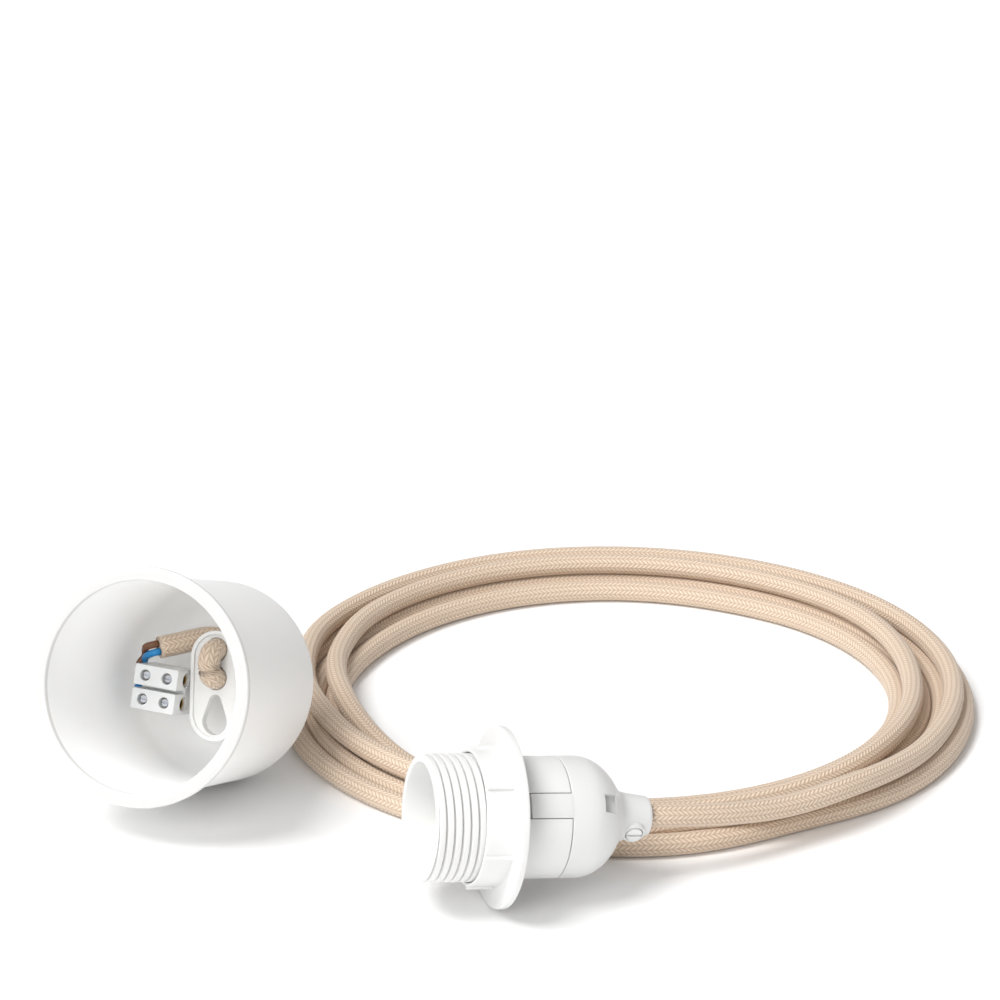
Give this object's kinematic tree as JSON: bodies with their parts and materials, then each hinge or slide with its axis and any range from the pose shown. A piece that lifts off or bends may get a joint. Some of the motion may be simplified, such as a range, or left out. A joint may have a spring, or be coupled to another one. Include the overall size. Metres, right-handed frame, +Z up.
{
  "type": "lamp_cord_set",
  "caption": "Pendant lamp cord set: white ceiling cup, beige braided cord in a loose coil, and an E27 lampholder with a threaded skirt and shade ring",
  "frame": {"origin": "bottom centre of the bounding box of the cup and the lampholder as they lie, without the free cord", "axes": "+X runs to the viewer's right, along the longest extent; +Y points away from the viewer; +Z is up"},
  "size_m": [0.3182, 0.3045, 0.0877],
  "materials": {
    "white_plastic": "satin moulded plastic",
    "nylon": "smooth nylon",
    "clear_plastic": "clear moulded plastic",
    "brass": "plain",
    "steel": "zinc plated",
    "beige_braid": "round textile braid",
    "blue_sleeve": "core insulation",
    "brown_sleeve": "core insulation"
  },
  "bodies": {
    "set": {"ceiling_cup": "white_plastic", "cup_grip_screw": "nylon", "hook_plate": "white_plastic", "cup_cord_end": "beige_braid", "terminal_block": "clear_plastic", "terminal_tube_1": "brass", "terminal_tube_2": "brass", "terminal_screw_1": "steel", "terminal_screw_2": "steel", "terminal_screw_3": "steel", "terminal_screw_4": "steel", "cup_core_brown": "brown_sleeve", "cup_core_blue": "blue_sleeve", "threaded_skirt": "white_plastic", "dome_cap": "white_plastic", "holder_grip_screw": "nylon", "contact_insert": "white_plastic", "centre_contact": "brass", "side_contact": "brass", "holder_cord_end": "beige_braid", "clamp_brown": "brass", "clamp_screw_brown": "steel", "holder_core_brown": "brown_sleeve", "clamp_blue": "brass", "clamp_screw_blue": "steel", "holder_core_blue": "blue_sleeve", "cord_coil": "beige_braid", "cord_holder_lead": "beige_braid", "cord_cup_lead": "beige_braid"},
    "shade_ring": {"shade_ring": "white_plastic"}
  },
  "joints": [
    {"name": "shade_ring_travel", "type": "slide", "parent": "set", "child": "shade_ring", "axis": [-0.952, -0.2802, 0.1236], "range_m": [0, 0.015]}
  ]
}
